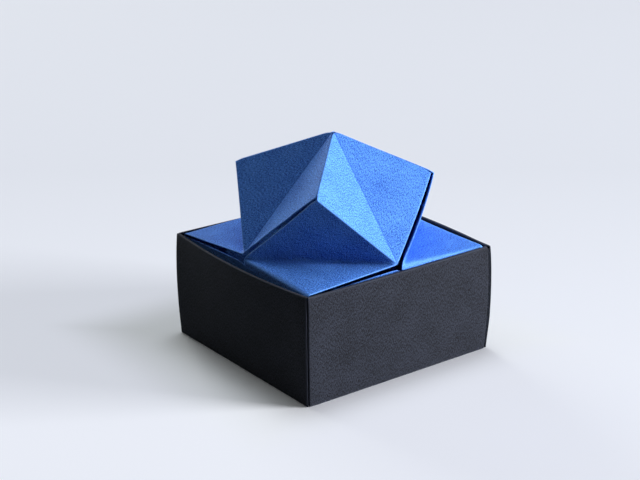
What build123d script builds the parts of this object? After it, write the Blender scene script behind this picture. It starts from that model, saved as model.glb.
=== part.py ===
"""Origami box: a square tray of four folded black sheets with a lid of four folded blue sheets.

Millimetres, +Z up, walls parallel to X and Y, origin at the middle of the tray's underside.
The sheets interlock as a pinwheel: each one of a set is the one before it turned a quarter
turn about Z. Every sheet is one solid of its own.
"""
import os

from build123d import *

# Driving dimensions, in millimetres
box_side = 75.0        # outside of the tray, half of a 150 mm square of paper
tray_height = 36.7     # top of the rim
sheet = 0.3            # folded paper as it lies
slip = 0.1             # room between a tab and each side of its pocket
lid_room = 0.3         # room between the lid's walls and the tray's lining
rim_fold = 0.33        # middle radius of the soft fold along the tray's rim
foot_fold = 0.6        # middle radius of the fold between a tray wall and its floor flap
wall_reveal = 1.0      # how far a tray wall's free end stops short of the corner
tray_tab = 30.0        # tab round the corner, inside the next wall's pocket
lock_depth = 8.0       # tab of one floor flap lying on the next flap
lock_width = 16.0
lock_root = 4.0        # and as much of it lying on its own flap
seat_room = 0.1        # from the tray's floor up to the lid's walls
shoulder = 36.7        # height of the lid's four corners
mid_gap = 1.2          # how far a lid sheet stops short of the middle of a side
fold_rise = 1.4        # the lid's folded top edge climbs this much from corner to middle
edge_rise = 2.2        # and the free top edge this much
edge_inset = 1.4       # the free top edge also draws in this much
band_room = 0.3        # from the lid's top down to the edge of the wall below its free edge
band_rise = 1.2        # that edge climbs this much from corner to middle
knob_rise = 1.5        # the knob's base above the lid's corners
apex_gap = 0.8         # the sheets stop this far short of the apex
lid_tab = 20.0         # tab past the middle of a side, behind the next sheet's wall
tuck_depth = 8.0       # flap tucked under the next sheet along a ridge of the knob
tuck_width = 16.0

half = box_side / 2
pocket = 2 * sheet + 2 * slip
wall = pocket + sheet
lid_half = half - wall - lid_room
mid = sheet / 2
set_in = sheet + slip
lap = 3.0              # straight stretch that two runs of one sheet share


# Plates and folded strips

def plate(corners, direction):
    """A flat polygon of paper, given a ply's thickness along a direction."""
    return Solid.extrude(Face(Wire.make_polygon(corners)), direction.normalized() * sheet)


def strip(points, radius, plane, length):
    """A ply bent along a line of straights and soft folds, drawn out square to that line."""
    return extrude(plane * trace(FilletPolyline(*points, radius=radius), sheet), amount=length)


def facing(a, b, c):
    """The direction out of the side from which a, b and c run anticlockwise."""
    return (b - a).cross(c - a).normalized()


def quarter(v):
    """A point or direction of one sheet, turned to where the next sheet has it."""
    return Vector(-v.Y, v.X, v.Z)


def folded(points, panels):
    """A sheet of flat panels with sharp folds: an outer skin, the same skin a ply in, and edges."""
    normals = [facing(*(points[name] for name in panel[:3])) for panel in panels]
    inner = {}
    for name, point in points.items():
        near = [n for panel, n in zip(panels, normals) if name in panel]
        spot = point
        for _ in range(400):
            for n in near:
                spot = spot - n * ((spot - point).dot(n) + sheet)
        inner[name] = spot
    loops = []
    edges = []
    for panel in panels:
        loops.append([points[name] for name in panel])
        loops.append([inner[name] for name in reversed(panel)])
        edges += list(zip(panel, panel[1:] + panel[:1]))
    for a, b in edges:
        if (b, a) not in edges:
            loops.append([points[b], points[a], inner[a]])
            loops.append([points[b], inner[a], inner[b]])
    return Solid(Shell([Face(Wire.make_polygon(loop)) for loop in loops]))


# One sheet of the tray: the front wall, its lining, its floor flap and its tab

def tray_sheet():
    top = tray_height - mid
    foot = 2 * sheet + slip
    span = half - wall - slip
    bend = foot_fold + mid
    left = -half + set_in
    right = half - wall_reveal

    # Rim and lining, over the length that is clear of the walls beside it
    hairpin = [(-half + pocket + mid, foot), (-half + pocket + mid, top), (-half + mid, top),
               (-half + mid, top - lap)]
    lining = strip(hairpin, rim_fold, Plane.YZ.offset(-span), 2 * span)

    # Outer ply, from the fold at the corner to the free end
    face = [(left + bend, -half, bend), (right, -half, bend),
            (right, -half, tray_height - rim_fold), (left + bend, -half, tray_height - rim_fold)]
    outer = plate(face, Vector(0, 1, 0))

    # Floor flap, a triangle to the middle, with the soft fold up into the wall
    foot_line = [(-half + mid, bend + lap), (-half + mid, mid), (0, mid)]
    flap = strip(foot_line, foot_fold, Plane.YZ.offset(left + bend), right - left - bend)
    triangle = Polyline((-half + slip, -half), (half - slip, -half), (0, -slip), close=True)
    flap = flap & extrude(make_face(triangle), amount=bend + lap)

    # Lock of the floor: a tab of this flap that lies on the next one
    along = Vector(1, -1, 0).normalized()
    out = Vector(1, 1, 0).normalized()
    root = along * (half / 2 ** 0.5) + Vector(0, 0, sheet)
    near = root - along * lock_width / 2
    far = root + along * lock_width / 2
    lock = plate([near - out * lock_root, far - out * lock_root,
                  far + out * lock_depth, near + out * lock_depth], Vector(0, 0, 1))

    # Tab round the corner, set in behind the free end of the wall beside it
    turn = [(left + bend + lap, -half + mid), (left + mid, -half + mid), (left + mid, -half + tray_tab)]
    tab = strip(turn, foot_fold, Plane.XY.offset(foot), top - 2 * rim_fold - foot)

    return outer + lining + flap + lock + tab


# One sheet of the lid: the near corner, from the left wall's middle to past the front wall's middle

def lid_sheet():
    foot = sheet + seat_room
    base = shoulder + knob_rise
    cube = lid_half * 2 / 3
    corner_y = -lid_half + set_in

    # The knob is four cube corners: its apex, and the outer point and the valley's foot of each
    fold = Vector(-lid_half, -mid_gap, shoulder + fold_rise)
    middle = Vector(-mid_gap, -lid_half + edge_inset, shoulder + edge_rise)
    point = Vector(-cube, -cube, base + cube)
    apex = Vector(0, 0, base + lid_half)
    apex = apex + (middle - apex).normalized() * apex_gap

    # The next sheet's two faces that meet this one, which stops just short inside them
    slope_out = quarter(facing(fold, middle, point))
    face_out = quarter(facing(point, middle, apex))
    end = quarter(point) - slope_out * set_in - face_out * set_in
    crest_in = facing(apex, end, middle)
    crest_in = (crest_in - face_out * crest_in.dot(face_out)).normalized()

    points = {
        "foot_a": Vector(-lid_half, corner_y, foot),
        "foot_b": Vector(-lid_half, -mid_gap, foot),
        "fold": fold,
        "corner": Vector(-lid_half, corner_y, shoulder),
        "middle": middle,
        "point": point,
        "apex": apex,
        "end": end,
    }
    panels = [["foot_a", "corner", "fold", "foot_b"], ["corner", "middle", "fold"],
              ["fold", "middle", "point"], ["point", "middle", "apex"], ["apex", "middle", "end"]]
    ribbon = folded(points, panels)

    # Wall round the corner, with its own free top edge, and the tab behind the next sheet's wall
    low_edge = shoulder - sheet - band_room
    side = [(-lid_half, corner_y, foot), (lid_tab, corner_y, foot), (lid_tab, corner_y, low_edge),
            (mid_gap, corner_y, low_edge), (-mid_gap, corner_y, low_edge + band_rise),
            (-lid_half, corner_y, low_edge)]
    band = plate(side, Vector(0, 1, 0))

    # Flap under the next sheet along the ridge between them
    ridge = (end - apex).normalized()
    seat = (apex + end) * 0.5
    root = [seat + ridge * tuck_width / 2, seat - ridge * tuck_width / 2]
    root = [spot - face_out * ((spot - quarter(point)).dot(face_out) + set_in) for spot in root]
    tip = [spot + crest_in * tuck_depth for spot in reversed(root)]
    tuck = plate(root + tip, -face_out)

    return ribbon + band + tuck


# Four sheets of each kind, a quarter turn apart

os.makedirs("parts", exist_ok=True)
tray = tray_sheet()
lid = lid_sheet()
tray_names = ["front", "right", "back", "left"]
lid_names = ["front_left", "front_right", "back_right", "back_left"]
for turn in range(4):
    export_step(Rot(0, 0, 90 * turn) * tray, "parts/tray_sheet_" + tray_names[turn] + ".step")
    export_step(Rot(0, 0, 90 * turn) * lid, "parts/lid_sheet_" + lid_names[turn] + ".step")
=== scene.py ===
# %% [markdown]
# A box of folded paper: a black tray of four sheets that lock into each other, and a blue lid
# of four more, which meet in a knob shaped like four corners of a cube. The CAD model fixes
# every size and place, so it is loaded first and the dressed pieces are built around it.

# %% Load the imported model
import math

import bpy
import numpy as np
from mathutils import Matrix, Vector


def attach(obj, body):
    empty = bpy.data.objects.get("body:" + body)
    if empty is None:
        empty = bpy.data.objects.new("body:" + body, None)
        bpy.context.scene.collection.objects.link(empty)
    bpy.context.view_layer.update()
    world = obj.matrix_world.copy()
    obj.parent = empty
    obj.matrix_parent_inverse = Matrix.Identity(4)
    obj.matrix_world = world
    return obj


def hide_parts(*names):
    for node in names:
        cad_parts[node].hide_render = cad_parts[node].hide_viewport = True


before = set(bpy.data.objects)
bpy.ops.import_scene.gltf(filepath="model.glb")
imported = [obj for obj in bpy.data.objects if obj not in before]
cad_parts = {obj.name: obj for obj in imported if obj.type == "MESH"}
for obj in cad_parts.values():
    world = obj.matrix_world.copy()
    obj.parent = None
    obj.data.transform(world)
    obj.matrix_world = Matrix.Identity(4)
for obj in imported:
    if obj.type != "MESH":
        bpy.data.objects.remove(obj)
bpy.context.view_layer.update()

MM = 0.001

# %% [markdown]
# The camera stands where the photograph was taken. It could be placed by eye, but six corners
# of the tray are known both in the picture and in millimetres, and these numbers are what
# brings the two together: a turn about the vertical, a tilt down, and a very slight roll.

# %% Camera
turn, tilt, roll = math.radians(36.74), math.radians(19.83), math.radians(-0.42)
aim = Vector((-2.65, 2.65, 36.3)) * MM
stand_off = 484.8 * MM
focal_pixels, picture_width, sensor_width = 1442.2, 640, 36

forward = Vector((math.sin(turn) * math.cos(tilt), math.cos(turn) * math.cos(tilt), -math.sin(tilt)))
level = Vector((math.cos(turn), -math.sin(turn), 0))
right = level * math.cos(roll) + level.cross(forward) * math.sin(roll)
up = right.cross(forward)

camera = bpy.data.objects.new("camera", bpy.data.cameras.new("camera"))
camera.data.sensor_fit = "HORIZONTAL"
camera.data.sensor_width = sensor_width
camera.data.lens = sensor_width * focal_pixels / picture_width
camera.matrix_world = (Matrix.Translation(aim - forward * stand_off)
                       @ Matrix((right, up, -forward)).transposed().to_4x4())
bpy.context.scene.collection.objects.link(camera)
bpy.context.scene.camera = camera
bpy.context.scene.view_settings.view_transform = "Standard"
print("lens in mm", round(camera.data.lens, 2))

# %% [markdown]
# Materials are small networks of nodes. One helper adds a node, sets it and links it, so that
# each material below reads as a recipe. Colours are written as sRGB hex values, the way a
# paint program shows them, and turned to the linear values that Blender works in.

# %% Helpers for materials
def linear(code):
    """sRGB hex to linear: channel c goes to ((c + 0.055) / 1.055) to the power 2.4, c / 12.92 if dark."""
    parts = [int(code[i:i + 2], 16) / 255 for i in (1, 3, 5)]
    return [c / 12.92 if c <= 0.04045 else ((c + 0.055) / 1.055) ** 2.4 for c in parts] + [1.0]


def add(tree, kind, settings=None, inputs=None):
    """One node: its own settings, then each input, which is a value or another node's output."""
    made = tree.nodes.new(kind)
    for name, value in (settings or {}).items():
        setattr(made, name, value)
    for name, value in (inputs or {}).items():
        if isinstance(value, bpy.types.NodeSocket):
            tree.links.new(value, made.inputs[name])
        else:
            made.inputs[name].default_value = value
    return made


def new_material(name):
    """An empty material and its tree, with the shader and the output already there."""
    material = bpy.data.materials.new(name)
    material.use_nodes = True
    return material, material.node_tree, material.node_tree.nodes["Principled BSDF"]


print("helpers ready, mid blue is", [round(v, 3) for v in linear("#4B84E6")[:3]])

# %% [markdown]
# The box stands on a plain pale surface that runs out of the picture on every side, so one
# large flat sheet of pale card is all the set that is needed. It takes the box's shadow. In the
# photograph the card is white in front of the box and a cool grey far behind it. A lamp nearer
# the front would do that too, but it would also change the box, so the card's own colour goes
# from one to the other with the distance from the camera. The card also throws light up at the
# box, and a white one would fill every shadow under the lid. The Light Path node tells which
# rays ask: the camera and mirror reflections see the pale colour, and bounced light gets a
# mid grey. The low lamps below would also throw long shadows across the card. The photograph
# only has the soft shade at the foot of the walls, so from a few centimetres out the card shows
# half of the light that falls on it and half an even glow, again for camera rays only. In
# front, where the shade is narrowest, this starts sooner.

# %% Floor
floor_reach = 3.0
# Depth from the box's middle up to which the card is white, and from which it is grey.
white_until, grey_from = -70 * MM, 200 * MM
# Distance from the middle up to which all shade shows, and from which the card is half even.
shade_until, even_from = 44 * MM, 76 * MM
front_stretch = 1.3
light_kept, glow_level = 0.5, 0.48

floor_mesh = bpy.data.meshes.new("floor")
floor_mesh.from_pydata([(-floor_reach, -floor_reach, 0), (floor_reach, -floor_reach, 0),
                        (floor_reach, floor_reach, 0), (-floor_reach, floor_reach, 0)], [], [(0, 1, 2, 3)])
floor = bpy.data.objects.new("floor", floor_mesh)
bpy.context.scene.collection.objects.link(floor)

# Smooth card, cut from a roll and laid flat: matt, with no pattern that shows at this distance.
pale_card, tree, shader = new_material("pale card")
place = add(tree, "ShaderNodeNewGeometry")
depth = add(tree, "ShaderNodeVectorMath", {"operation": "DOT_PRODUCT"}, {
    0: place.outputs["Position"], 1: (math.sin(turn), math.cos(turn), 0)})
away = add(tree, "ShaderNodeMapRange", {}, {
    "Value": depth.outputs["Value"], "From Min": white_until, "From Max": grey_from})
# Painted light: the card's colour going from white in front to grey behind stands in for a lamp's fall-off.
tone = add(tree, "ShaderNodeMix", {"data_type": "RGBA"}, {
    0: away.outputs["Result"], 6: linear("#FAFBFF"), 7: linear("#DADCE0")})
seen = add(tree, "ShaderNodeLightPath")
direct = add(tree, "ShaderNodeMath", {"operation": "MAXIMUM"}, {
    0: seen.outputs["Is Camera Ray"], 1: seen.outputs["Is Glossy Ray"]})
shown = add(tree, "ShaderNodeMix", {"data_type": "RGBA"}, {
    0: direct.outputs[0], 6: linear("#868A90"), 7: tone.outputs[2]})
axes = add(tree, "ShaderNodeSeparateXYZ", {}, {"Vector": place.outputs["Position"]})
off_side = add(tree, "ShaderNodeMath", {"operation": "ABSOLUTE"}, {0: axes.outputs["X"]})
off_back = add(tree, "ShaderNodeMath", {"operation": "ABSOLUTE"}, {0: axes.outputs["Y"]})
off_front = add(tree, "ShaderNodeMath", {"operation": "MULTIPLY"}, {
    0: axes.outputs["Y"], 1: -front_stretch})
farther = add(tree, "ShaderNodeMath", {"operation": "MAXIMUM"}, {
    0: off_side.outputs[0], 1: off_back.outputs[0]})
off_box = add(tree, "ShaderNodeMath", {"operation": "MAXIMUM"}, {
    0: farther.outputs[0], 1: off_front.outputs[0]})
# Painted light: away from the box, camera rays see a glow that paints out the lamps' long shadows.
open_card = add(tree, "ShaderNodeMapRange", {"interpolation_type": "SMOOTHSTEP"}, {
    "Value": off_box.outputs[0], "From Min": shade_until, "From Max": even_from})
even = add(tree, "ShaderNodeMath", {"operation": "MULTIPLY"}, {
    0: open_card.outputs["Result"], 1: seen.outputs["Is Camera Ray"]})
dimmed = add(tree, "ShaderNodeMath", {"operation": "MULTIPLY"}, {0: even.outputs[0], 1: 1 - light_kept})
lit = add(tree, "ShaderNodeMix", {"data_type": "RGBA"}, {
    0: dimmed.outputs[0], 6: shown.outputs[2], 7: linear("#000000")})
glow = add(tree, "ShaderNodeMath", {"operation": "MULTIPLY"}, {0: even.outputs[0], 1: glow_level})
tree.links.new(lit.outputs[2], shader.inputs["Base Color"])
tree.links.new(glow.outputs[0], shader.inputs["Emission Strength"])
shader.inputs["Emission Color"].default_value = linear("#EDF1FF")
shader.inputs["Roughness"].default_value = 0.95
shader.inputs["Specular IOR Level"].default_value = 0.1
floor_mesh.materials.append(pale_card)
print("floor", 2 * floor_reach, "m square")

# %% [markdown]
# The photograph has broad daylight from a window on the right and in front. It stands so low
# that the lid's level faces only catch a little of it, while the upright faces are bright. A
# weaker window behind the box lights the faces that lean back, and a faint ceiling gives the
# level faces and the card their tone. Three soft area lamps do the same, with a nearly black
# world around them. A sun lamp would be simpler, but its shadows have hard edges. A square lamp
# of P watts at d metres lights a white card that faces it to P over the square of pi d, which is
# how the watts are found from a wanted level.

# %% Light
def soft_lamp(name, towards, distance, size, level, colour):
    """A square lamp in direction towards, with the watts that light a facing white card to level."""
    lamp = bpy.data.lights.new(name, "AREA")
    lamp.size = size
    lamp.energy = level * (math.pi * distance) ** 2
    lamp.color = linear(colour)[:3]
    holder = bpy.data.objects.new(name, lamp)
    way = Vector(towards).normalized()
    holder.matrix_world = (Matrix.Translation(aim + way * distance)
                           @ way.to_track_quat("Z", "Y").to_matrix().to_4x4())
    bpy.context.scene.collection.objects.link(holder)


soft_lamp("window", (0.72, -0.66, 0.095), distance=2.5, size=1.0, level=3.65, colour="#FAFBFF")
soft_lamp("far_window", (0.06, 0.97, 0.21), distance=2.6, size=1.6, level=0.9, colour="#FBFFF8")
soft_lamp("ceiling", (0.15, 0.15, 0.98), distance=1.3, size=0.6, level=0.38, colour="#F4FAFF")
room_glow = 0.01
world = bpy.data.worlds.new("room")
world.use_nodes = True
world.node_tree.nodes["Background"].inputs["Color"].default_value = linear("#F2F5FF")
world.node_tree.nodes["Background"].inputs["Strength"].default_value = room_glow
bpy.context.scene.world = world

# %% [markdown]
# Every piece of this box is a flat sheet with folds. So each one is worked out twice: as a
# flat pattern with two coordinates p and q in millimetres, and as the place in space that each
# spot of the pattern is folded to. Folding alone gives knife-sharp creases. Real paper rounds
# them, and averaging the folded place over a small disc of the pattern does just that: away
# from a crease the average changes nothing, and near one it bends the sheet by the disc's size.

# %% Soft folding
GOLDEN_ANGLE = math.pi * (3 - math.sqrt(5))
DISC_SPOTS = 32


def soften(place, p, q, radius):
    """Average of place(p + a, q + b) over spots (a, b) spread evenly through a disc, in opposite pairs."""
    total = np.zeros(p.shape + (3,))
    for n in range(DISC_SPOTS):
        reach = radius * math.sqrt((n + 0.5) / DISC_SPOTS)
        a, b = reach * math.cos(n * GOLDEN_ANGLE), reach * math.sin(n * GOLDEN_ANGLE)
        total += place(p + a, q + b) + place(p - a, q - b)
    return total / (2 * DISC_SPOTS)


def panel(flat, solid):
    """A triangle's flat map: s0 + u (s1 - s0) + v (s2 - s0), where u and v solve that sum in the pattern."""
    flat, solid = np.array(flat, float), np.array(solid, float)
    slopes = np.linalg.solve(flat[1:] - flat[0], solid[1:] - solid[0])

    def place(p, q):
        return solid[0] + (p - flat[0, 0])[..., None] * slopes[0] + (q - flat[0, 1])[..., None] * slopes[1]

    return place


def quarter_turns(points, count):
    """Points turned about the vertical: each quarter turn takes (x, y, z) to (-y, x, z)."""
    points = np.array(points, float)
    for _ in range(count % 4):
        points = np.stack([-points[..., 1], points[..., 0], points[..., 2]], axis=-1)
    return points


def spans(*stops):
    """Grid lines: stops are (place, step to the next place), and the last is a place alone."""
    lines = []
    for (start, step), (end, _) in zip(stops[:-1], stops[1:]):
        lines.append(np.linspace(start, end, max(1, round((end - start) / step)), endpoint=False))
    return np.concatenate(lines + [np.array([stops[-1][0]])])


print("soft folds average", 2 * DISC_SPOTS, "spots")

# %% [markdown]
# A folded grid becomes a mesh here. Each cell of the grid is cut in two along the diagonal
# that follows the sheet's own creases, so no crease runs across a triangle. The pattern's own
# millimetres are kept as a UV map, which lets the paper's grain follow the sheet round its
# folds, and two numbers per point say how much lighter a fold or edge is painted, partly for
# wear and partly as a painted highlight, and how much painted shade lies along a crease.
# Solidify then gives the skin its ply of paper on the inside.

# %% Sheet builder
PLY = 0.3


def leaf(p, q, place, keep, slant, wear_and_highlight, crease_shade):
    """A grid as points, triangles and pattern values: cell a, b, c, d is cut along a-c, or b-d if slant."""
    index = np.arange(p.size).reshape(p.shape)
    a, b, c, d = index[:-1, :-1], index[1:, :-1], index[1:, 1:], index[:-1, 1:]
    along = np.stack([np.stack([a, d, c], -1), np.stack([a, c, b], -1)], -2)
    across = np.stack([np.stack([a, d, b], -1), np.stack([d, c, b], -1)], -2)
    triangles = np.where(slant[..., None, None], across, along)[keep].reshape(-1, 3)
    used, triangles = np.unique(triangles, return_inverse=True)
    values = [np.broadcast_to(v, p.shape).ravel()[used] for v in (p, q, wear_and_highlight, crease_shade)]
    return place.reshape(-1, 3)[used], triangles.reshape(-1, 3), values


def paper_piece(name, leaves, material, body, node):
    """Leaves joined into one mesh, given a ply inwards, on its body in place of its CAD node."""
    points, triangles, values, start = [], [], [], 0
    for spots, faces, numbers in leaves:
        points.append(spots * MM)
        triangles.append(faces + start)
        values.append(numbers)
        start += len(spots)
    points, triangles = np.concatenate(points), np.concatenate(triangles)
    p, q, wear_and_highlight, crease_shade = (np.concatenate(v) for v in zip(*values))
    mesh = bpy.data.meshes.new(name)
    mesh.from_pydata(points.tolist(), [], triangles.tolist())
    corners = np.empty(len(mesh.loops), int)
    mesh.loops.foreach_get("vertex_index", corners)
    pattern = mesh.uv_layers.new(name="pattern")
    pattern.data.foreach_set("uv", np.stack([p, q], -1)[corners].ravel())
    for label, numbers in (("wear_and_highlight", wear_and_highlight), ("crease_shade", crease_shade)):
        mesh.attributes.new(label, "FLOAT", "POINT").data.foreach_set("value", numbers)
    mesh.polygons.foreach_set("use_smooth", np.ones(len(mesh.polygons), bool))
    mesh.materials.append(material)
    piece = bpy.data.objects.new(name, mesh)
    bpy.context.scene.collection.objects.link(piece)
    ply = piece.modifiers.new("ply", "SOLIDIFY")
    ply.thickness = PLY * MM
    ply.offset = -1
    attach(piece, body)
    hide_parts(node)
    print(name, len(points), "points", len(triangles), "triangles before its ply")


def near(distance, width):
    """One at a line and fading away from it: exp(-(distance / width) squared)."""
    return np.exp(-(distance / width) ** 2)


print("one ply is", PLY, "mm")

# %% [markdown]
# Both papers are made the same way: pulp fibres dyed through and felted at random into a soft
# matt sheet. Close up that is a grain of short crossed strokes, lighter and darker than the
# body colour, a slow cloudiness a few millimetres across, and here and there a long pale thread
# on top. A photograph of paper would be the quick way, but it could not follow the folds at
# every size. So three stretched noises, turned against each other, stand for the strokes. A
# thread is a contour line of one more noise: the narrow band where its value is close to a
# half. The fibres of such paper are some hundredths of a millimetre wide. They are drawn at
# about a fifth of a millimetre and the threads coarser too, so that they still show from here.
# The strokes also raise a bump of a twentieth of a millimetre, which is about their real height.

# %% Paper
# Each stroke noise has a turn in radians and a shift, and its width is this share of its length.
STROKES = ((0.7, 3.0), (-0.5, 17.0), (1.7, 29.0))
STROKE_SHAPE = 0.32
CLOUD_SIZE, CLOUD_SHARE = 9.0, 0.12
# A noise averages a half, so three of them and a share of the cloud average this.
FELT_MIDDLE = 3 * 0.5 + CLOUD_SHARE * 0.5
FELT_LOW, FELT_HIGH = 1.1, 1.9
# Threads lie this many mm apart, as bands this wide in the noise's own value, and come and go.
THREAD_SIZE, THREAD_BAND = 1.6, 0.014
THREAD_FROM, THREAD_FULL = 0.42, 0.62
ROUGH_SPREAD = 0.08
NAP_HEIGHT, NAP_STRENGTH = 0.05, 0.8


def paper(name, deep, body, light, edge, crease_shade_colour, fuzz, gloss, rough, fibre, contrast, thread):
    """Dyed paper: fibres, in mm, run from deep over body to light; folds and edges painted lighter, for wear
    and as highlight, go to edge; painted crease shade goes to score.
    """
    material, tree, shader = new_material(name)
    pattern = add(tree, "ShaderNodeUVMap", {"uv_map": "pattern"})
    strokes = []
    for turned, seed in STROKES:
        placed = add(tree, "ShaderNodeMapping", {}, {
            "Vector": pattern.outputs["UV"], "Rotation": (0, 0, turned), "Location": (seed, seed, 0),
            "Scale": (1 / fibre, STROKE_SHAPE / fibre, 1)})
        strokes.append(add(tree, "ShaderNodeTexNoise", {"noise_dimensions": "2D"}, {
            "Vector": placed.outputs["Vector"], "Scale": 1.0, "Detail": 4.0, "Roughness": 0.85}))
    pair = add(tree, "ShaderNodeMath", {"operation": "ADD"}, {
        0: strokes[0].outputs["Fac"], 1: strokes[1].outputs["Fac"]})
    felt = add(tree, "ShaderNodeMath", {"operation": "ADD"}, {
        0: pair.outputs[0], 1: strokes[2].outputs["Fac"]})
    cloud = add(tree, "ShaderNodeTexNoise", {"noise_dimensions": "2D"}, {
        "Vector": pattern.outputs["UV"], "Scale": 1 / CLOUD_SIZE, "Detail": 2.0})
    mixed = add(tree, "ShaderNodeMath", {"operation": "MULTIPLY_ADD"}, {
        0: cloud.outputs["Fac"], 1: CLOUD_SHARE, 2: felt.outputs[0]})
    tone = add(tree, "ShaderNodeMapRange", {}, {
        "Value": mixed.outputs[0],
        "From Min": FELT_MIDDLE - contrast, "From Max": FELT_MIDDLE + contrast})
    dye = add(tree, "ShaderNodeValToRGB", {}, {"Fac": tone.outputs["Result"]})
    ramp = dye.color_ramp
    ramp.elements[0].color, ramp.elements[1].color = linear(deep), linear(light)
    ramp.elements.new(0.5).color = linear(body)
    swirl = add(tree, "ShaderNodeTexNoise", {"noise_dimensions": "2D"}, {
        "Vector": pattern.outputs["UV"], "Scale": 1 / THREAD_SIZE, "Detail": 1.0, "Distortion": 0.6})
    on_line = add(tree, "ShaderNodeMath", {"operation": "COMPARE"}, {
        0: swirl.outputs["Fac"], 1: 0.5, 2: THREAD_BAND})
    patchy = add(tree, "ShaderNodeMapRange", {}, {
        "Value": strokes[0].outputs["Fac"],
        "From Min": THREAD_FROM, "From Max": THREAD_FULL, "To Max": thread})
    hair = add(tree, "ShaderNodeMath", {"operation": "MULTIPLY"}, {
        0: on_line.outputs[0], 1: patchy.outputs["Result"]})
    threads = add(tree, "ShaderNodeMix", {"data_type": "RGBA"}, {
        0: hair.outputs[0], 6: dye.outputs["Color"], 7: linear(edge)})
    # Folds and edges painted lighter: partly wear, partly a painted highlight where light would catch them.
    wear_and_highlight = add(tree, "ShaderNodeAttribute", {"attribute_name": "wear_and_highlight"})
    # Painted shade: creases are darkened as if shade lay in the valley of the fold.
    crease_shade = add(tree, "ShaderNodeAttribute", {"attribute_name": "crease_shade"})
    worn_and_highlit = add(tree, "ShaderNodeMix", {"data_type": "RGBA"}, {
        0: wear_and_highlight.outputs["Fac"], 6: threads.outputs[2], 7: linear(edge)})
    crease_shaded = add(tree, "ShaderNodeMix", {"data_type": "RGBA"}, {
        0: crease_shade.outputs["Fac"], 6: worn_and_highlit.outputs[2], 7: linear(crease_shade_colour)})
    tree.links.new(crease_shaded.outputs[2], shader.inputs["Base Color"])
    matt = add(tree, "ShaderNodeMapRange", {}, {
        "Value": felt.outputs[0], "From Min": FELT_LOW, "From Max": FELT_HIGH,
        "To Min": rough - ROUGH_SPREAD, "To Max": rough + ROUGH_SPREAD})
    tree.links.new(matt.outputs["Result"], shader.inputs["Roughness"])
    nap = add(tree, "ShaderNodeBump", {}, {
        "Height": felt.outputs[0], "Strength": NAP_STRENGTH, "Distance": NAP_HEIGHT * MM})
    tree.links.new(nap.outputs["Normal"], shader.inputs["Normal"])
    shader.inputs["Specular IOR Level"].default_value = gloss
    shader.inputs["Sheen Weight"].default_value = fuzz
    shader.inputs["Sheen Roughness"].default_value = 0.5
    shader.inputs["Sheen Tint"].default_value = linear(light)
    return material


print("fibres are drawn as", len(STROKES), "noises and threads every", THREAD_SIZE, "mm")

# %% [markdown]
# The lid is soft mulberry paper in a clear blue, and the tray a heavier black paper. The blue
# one has long fibres, some of them pale, and its folds and edges are painted lighter, partly for
# wear and partly as a painted highlight where light catches them. The black one reflects
# hardly anything straight on, yet where light grazes it the loose fibre ends catch it, which is
# why the wall that faces the window is a dark grey and the other one nearly black. Principled's
# sheen is made for just that. A lighter colour alone would lift both walls alike.

# %% The two papers
# In both papers edge is the colour of pale threads, and of folds and edges painted lighter for wear and as
# painted highlight.
# Blue: the sheet was dyed in the vat and dried on a board. The eye sees a dry, slightly mottled blue.
blue_paper = paper("blue mulberry paper", deep="#2048A6", body="#427AE4", light="#68A8FF",
                   edge="#6CA4F4", crease_shade_colour="#2048A8",
                   fuzz=0.03, gloss=0.1, rough=0.7, fibre=0.22, contrast=0.066, thread=0.8)
# Black: dyed in the pulp and lightly pressed. The eye sees a velvety grey that falls to black in shade.
black_paper = paper("black felted paper", deep="#020304", body="#090B0F", light="#2C303C",
                    edge="#3A3E4A", crease_shade_colour="#0D0E12",
                    fuzz=1.0, gloss=0.13, rough=0.8, fibre=0.24, contrast=0.066, thread=0.3)
print("materials", blue_paper.name, black_paper.name)

# %% [markdown]
# A lid sheet starts at the middle of one side, folds down as a wall there, runs round its
# corner as a second wall with a tab, and folds inwards over the corner as a triangle, then up
# a slope, then over the slope's top edge into the two halves of a knob square. In the pattern
# those panels fill a strip one square wide. Only their corners are needed in space: each panel
# between them is flat. The corners the photograph shows are where the hand left them, a
# millimetre or so from the ideal, and the unseen ones are ideal. The last corner of a sheet, its
# end, isn't free: it tucks in just below the next sheet's slope, so it is worked out from there.

# %% Corners of the lid sheets
# Millimetres, in the CAD frame. The ideal corners are the first sheet's, and turn for the others.
square = 36.1
wall_pattern = 36.4
lid_foot = 0.4
ideal_corners = {"corner": (-36.1, -35.7, 36.7), "start": (-36.1, -1.2, 38.1),
                 "middle": (-1.2, -34.7, 38.9)}
hand_left = {
    "point": [(-24.3, -24.6, 62.1), (26.8, -21.2, 60.4), (24.0, 24.0, 62.0), (-21.3, 24.75, 62.5)],
    "start": [(-35.55, -0.5, 38.2), (0.55, -36.3, 38.26), None, None],
    "middle": [(-0.75, -35.8, 38.7), (34.5, -1.2, 38.3), None, (-34.7, 0.93, 39.05)],
}
apex = np.array((0.7, -0.5, 74.6))
apex_gap = 0.2
slope_gap, face_gap = 0.9, 0.3


def unit(v):
    """A direction of length one: v over its own length."""
    return v / np.linalg.norm(v)


def facing(a, b, c):
    """The direction out of the side from which a, b and c run anticlockwise."""
    return unit(np.cross(b - a, c - a))


lid_corners = []
for k in range(4):
    spots = {}
    for name, ideal in ideal_corners.items():
        spots[name] = quarter_turns(ideal, k)
    for name, places in hand_left.items():
        if places[k] is not None:
            spots[name] = np.array(places[k])
    spots["tip"] = apex + unit(spots["middle"] - apex) * apex_gap
    lid_corners.append(spots)
for k in range(4):
    after = lid_corners[(k + 1) % 4]
    slope_out = facing(after["start"], after["middle"], after["point"])
    face_out = facing(after["point"], after["middle"], after["tip"])
    lid_corners[k]["end"] = after["point"] - slope_out * slope_gap - face_out * face_gap
    ridge = unit(lid_corners[k]["tip"] - lid_corners[k]["end"])
    into = after["middle"] - lid_corners[k]["end"]
    into = into - ridge * (into @ ridge)
    lid_corners[k]["into"] = unit(into - face_out * (into @ face_out))
    print("lid sheet", k, "ends at", np.round(lid_corners[k]["end"], 1))

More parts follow.
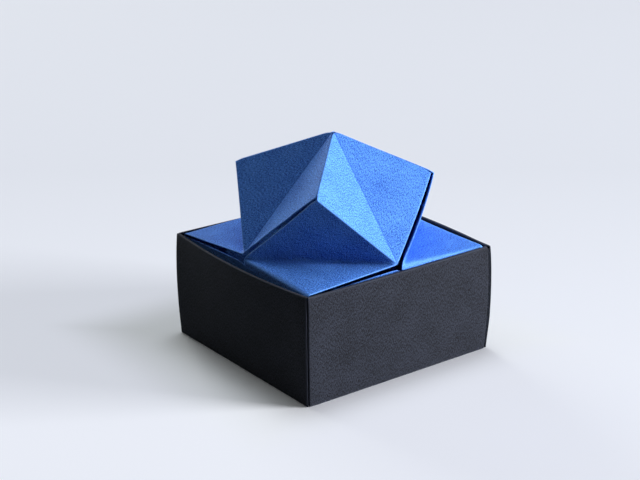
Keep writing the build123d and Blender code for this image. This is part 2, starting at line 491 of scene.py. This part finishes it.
# %% [markdown]
# One function then folds the whole pattern of a lid sheet. The second wall is cut free of the
# triangle above it, so it is kept apart there, and its top edge climbs a little towards the
# middle of the side, as the picture shows. Paper that is held at its folds only doesn't stay
# flat, so the sheet sags along the valley below the slope, the triangle crowns up between its
# corners, and free edges bow by a fraction of a millimetre. A mesh could be pushed about by hand
# for this, but as formulas in the pattern they keep to the sheet's creases. The free edge of the
# knob's inner half has a hem folded under, so that its gap shows paper and not a bare cut, and a
# flap goes on past the end into the next sheet. On the back left sheet, whose gap faces the
# camera, the hem lies nearly flat on the back of the paper, because there the gap is dark.

# %% Folding a lid sheet
# Lists hold one value for each sheet, and edge bows are shifts in x, y and z half way along.
lid_tab = 20.0
valley_sag = [(0.3, 0.3), (0.5, 0.5), (0.6, 0.6), (0.6, 0.6)]
crown = [0.9, 0.3, 0.4, 0.3]
edge_bow = {"triangle": [(0, 0, 0), (0.2, 0, -0.3), (0, 0.2, 0), (0, 0, 0)],
            "slope": [(0.24, -0.12, -0.23), (0.61, -0.58, -0.32), (0.2, 0.2, 0), (-0.2, 0.2, 0)],
            "inner": [(0.2, -0.22, -0.12), (0, 0, 0), (0, 0, 0), (0.35, 0.31, 0.19)]}
low_edge, band_turn, band_rise = 36.1, 1.2, [1.2, 1.8, 2.4, 1.2]
tuck_depth, tuck_from, tuck_to = 8.0, 0.06, 0.8
hem, hem_inset = 8.0, 0.4
hem_turn = [90, 90, 90, 168]
fine_margin = 3.6


def lid_folder(k):
    """Where (p, q) goes: a wall below q = 0, a second where p < 0 too, four triangles, a hem and a flap."""
    at = lid_corners[k]
    corner, start, middle = at["corner"], at["start"], at["middle"]
    point, tip, end = at["point"], at["tip"], at["end"]
    s = square
    triangle = panel([(0, 0), (s, 0), (0, s)], [corner, start, middle])
    slope = panel([(s, 0), (0, s), (s, s)], [start, middle, point])
    outer_half = panel([(s, s), (0, s), (s, 2 * s)], [point, middle, tip])
    inner_half = panel([(s, 2 * s), (0, s), (0, 2 * s)], [tip, middle, end])
    foot_from = corner * (1, 1, 0) + (0, 0, lid_foot)
    foot_to = quarter_turns(ideal_corners["start"], k) * (1, 1, 0) + (0, 0, lid_foot)
    run = quarter_turns((1, 0, 0), k)
    turned = math.radians(hem_turn[k])
    under = -facing(tip, middle, end) * math.sin(turned) - unit(tip - end) * math.cos(turned)
    inward, down = valley_sag[k]
    dip = quarter_turns((inward / math.sqrt(2), inward / math.sqrt(2), -down), k)

    def bow(panel_name, one, other):
        """A free edge's bow: 4 times the shares of its two ends, so it is whole half way along."""
        amount = 4 * np.clip(one, 0, 1) * np.clip(other, 0, 1)
        return amount[..., None] * np.array(edge_bow[panel_name][k])

    def place(p, q, below):
        """All panels at once, then a choice by p and q. The crown is 27 u v (1 - u - v), one at its top."""
        drop = (-q / wall_pattern)[..., None]
        share = (p / s)[..., None]
        wall_top = corner + (start - corner) * share
        wall_foot = foot_from + (foot_to - foot_from) * share
        first_wall = wall_top * (1 - drop) + wall_foot * drop
        climb = np.interp(-p, [0, s - band_turn, s + band_turn], [0, band_rise[k], 0])
        height = lid_foot + (low_edge + climb - lid_foot) * (1 - drop[..., 0])
        second_wall = corner * (1, 1, 0) - p[..., None] * run + height[..., None] * np.array((0, 0, 1))
        flap = end + (tip - end) * share + at["into"] * (q - 2 * s)[..., None]
        reach = np.where(p + q < s, p + q, 2 * s - p - q)
        along = np.clip(np.where(p + q < s, p, s - q) / np.maximum(reach, 1e-6), 0, 1)
        hang = 4 * along * (1 - along) * np.clip(reach / s, 0, 1)
        hang = np.where((q > 0) & (q < s), hang, 0)[..., None] * dip
        u, v = p / s, q / s
        puff = (crown[k] * 27 * u * v * (1 - u - v))[..., None] * np.array((0, 0, 1))
        over_corner = triangle(p, q) + hang + puff + bow("triangle", 1 - u - v, v)
        up_slope = slope(p, q) + hang + bow("slope", 1 - v, u + v - 1)
        inner_face = inner_half(p, q) + bow("inner", 2 - v, v - 1 - u)
        hem_edge = inner_half(0 * p, q) + bow("inner", 2 - v, v - 1)
        hem_face = hem_edge - p[..., None] * under
        on_hem = (p < 0) & (q > s) & (q < 2 * s)
        choices = [(q < 0) & (p < 0) & below, q < 0, on_hem, p + q < s, q < s, q - s < p, q < 2 * s]
        folded = [second_wall, first_wall, hem_face, over_corner, up_slope, outer_half(p, q), inner_face]
        return np.select([c[..., None] for c in choices], folded, flap)

    return place


def lid_grid():
    """Pattern lines: fine on the panels that show, coarser on the walls, with a line on every cut edge."""
    s = square
    fine = s / 100
    turn_margin = 2 * band_turn
    p = spans((-s - lid_tab, 2.0), (-s - turn_margin, 0.6), (-s + turn_margin, 2.0), (-hem, 1.1),
              (-fine_margin, fine), (0, fine), (s, 1))
    q = spans((-wall_pattern, 3.0), (-fine_margin, fine), (0, fine), (2 * s, 1.0),
              (2 * s + tuck_depth, 1))
    return np.meshgrid(p, q, indexing="ij")


print("lid grid", lid_grid()[0].shape)

# %% [markdown]
# Each crease is rounded by its own amount. The fold along the lid's edge is broad and soft,
# the valley below the slope is soft too, and the creases of the knob are pressed flat. Between
# creases the radius changes smoothly, weighted by how near each one is. The free corners of the
# knob are a little blunt, as paper corners get with handling, and a slow unevenness of some
# hundredths of a millimetre keeps the large faces from looking like plastic.

# %% The four lid sheets
lid_names = ["front_left", "front_right", "back_right", "back_left"]
edge_radius = [1.3, 1.9, 1.9, 1.9]
fold_radius = {"corner": 1.0, "valley": 2.0, "top": 0.45, "diagonal": 0.35, "side": 0.3}
fold_blend = 0.5
corner_pull, pull_reach = {"point": 0.4, "tip": 0.6, "end": 0.5}, 1.6
unevenness = 0.06
# Free edges and the lid's edge fold are painted lighter: partly wear, partly painted highlight.
free_edge_wear_and_highlight, free_width = 0.5, 0.35
fold_wear_and_highlight, soft_width = 0.35, 0.8
# Painted shade along the knob's diagonal valley crease.
crease_shade_depth, crease_shade_width = 0.8, 0.22
FAR = 1e3


def slow_wave(p, q, k):
    """Uneven paper: sin(p / 9) sin(q / 11) + 0.6 sin((p - q) / 6), shifted from sheet to sheet."""
    crossed = np.sin(p / 9.0 + 1.7 * k) * np.sin(q / 11.0 + 0.9 * k + 0.5)
    return crossed + 0.6 * np.sin((p - q) / 6.0 + 2.3 * k)


def lid_sheet(k):
    """A folded lid sheet: soft folds, then a slow unevenness along its own normal."""
    p, q = lid_grid()
    s = square
    gaps = {"edge": np.where(p >= 0, np.abs(q), FAR),
            "corner": np.where(q < 0, np.abs(p), FAR),
            "valley": np.where(q >= 0, np.abs(p + q - s) / math.sqrt(2), FAR),
            "top": np.where(q > 0, np.abs(q - s), FAR),
            "side": np.where(q > s, np.abs(p), FAR),
            "diagonal": np.where(q > 0.5 * s, np.abs(q - s - p) / math.sqrt(2), FAR)}
    weights = {n: 1 / (d ** 2 + fold_blend) ** 2 for n, d in gaps.items()}
    sizes = dict(fold_radius, edge=edge_radius[k])
    radius = sum(weights[n] * sizes[n] for n in gaps) / sum(weights.values())
    below = (q < 0) | ((p < 0) & (q < 0.5 * s))
    folder = lid_folder(k)

    def kept_apart(a, b):
        """The second wall is cut free of the triangle, so its spots never look above q = 0."""
        b = np.where((p < 0) & below, np.minimum(b, -1e-9), b)
        return folder(a, b, below)

    spots = soften(kept_apart, p, q, radius)
    along_p, along_q = np.gradient(spots, axis=0), np.gradient(spots, axis=1)
    outward = np.cross(along_q, along_p)
    outward /= np.linalg.norm(outward, axis=-1, keepdims=True) + 1e-12
    at = lid_corners[k]
    for name, corner_p, corner_q in (("point", s, s), ("tip", s, 2 * s), ("end", 0, 2 * s)):
        blunt = near(np.hypot(p - corner_p, q - corner_q), pull_reach) * (q > 0)
        spots = spots + blunt[..., None] * corner_pull[name] * unit(at["middle"] - at[name])
    spots = spots + outward * (unevenness * slow_wave(p, q, k))[..., None]
    pm, qm = (p[:-1, :-1] + p[1:, 1:]) / 2, (q[:-1, :-1] + q[1:, 1:]) / 2
    keep = (qm < 0) | ((pm > 0) & (qm < 2 * s))
    keep |= (qm > 2 * s) & (pm > tuck_from * s) & (pm < tuck_to * s)
    keep |= (pm < 0) & (pm > -hem) & (qm > s + hem_inset) & (qm < 2 * s - hem_inset)
    edges = np.minimum(np.abs(p), np.abs(p - s))
    # Lighter free edges and edge fold: partly wear, partly painted highlight.
    wear_and_highlight = np.where(q > 0, free_edge_wear_and_highlight * near(np.minimum(edges, gaps["top"]), free_width), 0)
    wear_and_highlight = np.maximum(wear_and_highlight, fold_wear_and_highlight * near(gaps["edge"], soft_width))
    # Painted shade along the diagonal valley crease.
    crease_shade = crease_shade_depth * near(gaps["diagonal"], crease_shade_width)
    return leaf(p, q, spots, keep, qm < s, wear_and_highlight, crease_shade)


for k, name in enumerate(lid_names):
    paper_piece("lid_" + name, [lid_sheet(k)], blue_paper, "lid", "lid_sheet_" + name)

# %% [markdown]
# A tray sheet is a wall: a lining on the inside, a soft fold over the rim, the outer face, a
# soft fold at the foot, and a triangle of floor that runs to the middle. A tab goes round one
# corner into the pocket of the next wall. The pattern is a strip again, with q running from the
# lining's lower edge over the rim and down to the floor. Where the tab turns in, the wall can
# stand out from its neighbour as a small lip, which is strongest part of the way up and dies
# out along the wall.

# %% Folding a tray sheet
# Millimetres. From wall_from on, places along the pattern are worked out from the sizes above.
half, rim_height = 37.5, 36.7
wall_depth, set_in, reveal = 1.1, 0.1, 0.5
lining_foot, lining_half = 0.7, 36.3
tray_tab, tab_in, tab_turn = 30.0, 0.7, 0.8
tab_top_gap, tab_foot_gap, tab_overlap = 1.0, 0.5, 1.0
lip_reach, lip_full, lip_loss = 4.0, 0.3, 0.3
middle_gap = 0.2
wall_from, wall_to = -half + set_in, half - reveal
wall_length = wall_to - wall_from
lining_end = rim_height - lining_foot
rim_end = lining_end + wall_depth
foot_end = rim_end + rim_height
floor_end = foot_end + half - middle_gap


def tray_place(p, q, lip):
    """Where (p, q) goes: lining up, rim out, face down, floor in; where p < 0 the face turns in as a tab."""
    x_face = wall_from + p
    x_lining = -lining_half + p * (2 * lining_half / wall_length)
    over = np.clip((q - lining_end) / wall_depth, 0, 1)
    x_wall = x_lining + (x_face - x_lining) * over
    inward = np.clip((q - foot_end) / half, 0, 1)
    x = x_wall * (1 - inward)
    y = -half + np.clip(rim_end - q, 0, wall_depth) + np.clip(q - foot_end, 0, half)
    z = np.clip(np.where(q < rim_end, lining_foot + q, rim_height - (q - rim_end)), 0, rim_height)
    tab = (p < 0) & (q > rim_end) & (q < foot_end + tab_overlap)
    x = np.where(tab, wall_from + tab_in * np.clip(-p / tab_turn, 0, 1), x)
    y = np.where(tab, -half - p, y)
    rise = np.clip(z / rim_height, 0, 1)
    stands_out = np.clip(rise / lip_full, 0, 1) * (1 - lip_loss * rise) * over
    y = y - lip * stands_out * near(np.maximum(p, 0), lip_reach) * (p > -tab_turn)
    return np.stack([x, y, z], -1)


def tray_grid():
    """Pattern lines: fine over the rim, the foot and the corner, coarse between."""
    p = spans((-tray_tab, 2.5), (-2.0, 0.2), (2.0, 1.4), (wall_length - 1.0, 0.25),
              (wall_length, 1))
    q = spans((0, 3.0), (lining_end - 1.2, 0.12), (rim_end + 1.4, 0.4), (rim_end + 3.0, 1.4),
              (foot_end - 3.0, 0.4), (foot_end - 1.6, 0.16), (foot_end + 1.6, 2.0), (floor_end, 1))
    return np.meshgrid(p, q, indexing="ij")


print("tray grid", tray_grid()[0].shape)

# %% [markdown]
# Walls of folded paper are never quite flat. The left and right rims bow out by two
# millimetres, the left one sags a little, the front and back bow less, every wall has a slight
# belly, and the upright corners swell near their middle. These bulges are fields in space, so
# every ply at one spot moves together and the tabs stay inside their pockets. A lattice around
# the tray would do the same, but it would be one more thing to keep in step with the walls.

# %% Bulges of the tray
rim_bow = {"front": 0.3, "right": 2.0, "back": 0.6, "left": 2.0}
rim_sag = {"front": 0.1, "right": -0.3, "back": 0.2, "left": 0.65}
belly = 0.5
corner_swell, swell_reach, swell_lean = 0.7, 9.0, 0.8
fade_end, fade_length = 4.0, 2.0
tray_names = ["front", "right", "back", "left"]


def bulge(spots):
    """Walls go out by (1 - s^2) (bow t^2 + belly sin(pi t)), s along and t up; rims sag, corners swell."""
    for k, name in enumerate(tray_names):
        local = quarter_turns(spots, 4 - k)
        s, t = local[..., 0] / half, np.clip(local[..., 2] / rim_height, 0, 1)
        depth_in = local[..., 1] + half
        share = np.clip((fade_end - depth_in) / fade_length, 0, 1) * np.clip(1 - s ** 2, 0, 1)
        local[..., 1] -= share * (rim_bow[name] * t ** 2 + belly * np.sin(math.pi * t))
        local[..., 2] -= share * rim_sag[name] * t ** 4
        spots = quarter_turns(local, k)
    t = np.clip(spots[..., 2] / rim_height, 0, 1)
    lift = corner_swell * np.sin(math.pi * (1 - t) ** swell_lean) / math.sqrt(2)
    for sx in (-1, 1):
        for sy in (-1, 1):
            away = np.hypot(spots[..., 0] - sx * half, spots[..., 1] - sy * half)
            spots[..., :2] += (lift * near(away, swell_reach))[..., None] * np.array((sx, sy))
    return spots


print("rims bow", rim_bow)

# %% [markdown]
# Four sheets make the tray, each turned a quarter from the last. They differ as the hand left
# them: how far the lip stands out, how round the upright fold is and how far short of the corner
# the free end stops. That end also carries a painted highlight of its own strength, strongest on
# the left sheet, whose cut end shows as a light line at the near corner. On the front sheet the
# end stops short by almost a millimetre, which leaves the thin dark slit at the right of the
# picture. Each sheet also has a small lock, a patch that lies across the seam of the floor and
# holds two flaps together.

# %% The four tray sheets
lock_depth, lock_root, lock_width, lock_gap = 8.0, 4.0, 16.0, 0.02
fold_round, rim_round, rim_reach, corner_reach = 0.4, 0.5, 3.0, 2.0
# Tray folds are painted lighter: partly wear, partly painted highlight along the rim, the corners and the
# foot.
tray_fold_wear_and_highlight, rub_width, end_width = 0.6, 0.35, 0.6
corner_lip = {"front": 0.0, "right": 0.75, "back": 0.3, "left": 0.2}
corner_round = {"front": 1.0, "right": 0.4, "back": 0.6, "left": 0.5}
# Painted highlight on each sheet's free end edge, as if light caught its cut edge; strongest on the left
# sheet.
end_highlight = {"front": 0.0, "right": 0.3, "back": 0.3, "left": 1.0}
end_trim = {"front": 0.8, "right": 0.25, "back": 0.25, "left": 0.0}


def tray_lock():
    """The floor lock: a flat patch across the seam between this flap and the next, lying on both."""
    across = spans((-lock_width / 2, 2.0), (lock_width / 2, 1))
    deep = spans((-lock_root, 2.0), (lock_depth, 1))
    u, v = np.meshgrid(across, deep, indexing="ij")
    along, out = np.array((1, -1, 0)) / math.sqrt(2), np.array((1, 1, 0)) / math.sqrt(2)
    height = np.array((0, 0, PLY + lock_gap))
    spots = along * (half / math.sqrt(2) + u)[..., None] + out * v[..., None] + height
    cells = np.ones((u.shape[0] - 1, u.shape[1] - 1), bool)
    return leaf(u, v, spots, cells, ~cells, 0.0, 0.0)


def tray_sheet(k):
    """A folded tray sheet with its lock, turned to its side and bulged."""
    p, q = tray_grid()
    name = tray_names[k]
    rim = near(np.minimum(np.abs(q - lining_end), np.abs(q - rim_end)), rim_reach)
    upright = near(p, corner_reach) * (1 - rim)
    radius = fold_round + (rim_round - fold_round) * rim + (corner_round[name] - fold_round) * upright
    spots = soften(lambda a, b: tray_place(a, b, corner_lip[name]), p, q, radius)
    pm, qm = (p[:-1, :-1] + p[1:, 1:]) / 2, (q[:-1, :-1] + q[1:, 1:]) / 2
    keep = (pm > 0) | ((qm > rim_end + tab_top_gap) & (qm < foot_end - tab_foot_gap))
    keep &= pm < wall_length - end_trim[name]
    rim_fold = np.abs(q - lining_end - wall_depth / 2) - wall_depth / 2
    folds = np.minimum.reduce([rim_fold, np.abs(p), np.abs(p - wall_length), np.abs(q - foot_end)])
    # Lighter tray folds: partly wear, partly painted highlight.
    wear_and_highlight = tray_fold_wear_and_highlight * near(np.maximum(folds, 0), rub_width)
    # Painted highlight along the free end edge.
    end_highlight_band = near(p - wall_length + end_trim[name], end_width) * (q > rim_end) * (q < foot_end)
    wear_and_highlight = np.maximum(wear_and_highlight, end_highlight[name] * end_highlight_band)
    sheet = leaf(p, q, spots, keep, np.zeros(pm.shape, bool), wear_and_highlight, 0.0)
    turned = []
    for points, faces, values in (sheet, tray_lock()):
        turned.append((bulge(quarter_turns(points, k)), faces, values))
    return turned


for k, name in enumerate(tray_names):
    paper_piece("tray_" + name, tray_sheet(k), black_paper, "tray", "tray_sheet_" + name)
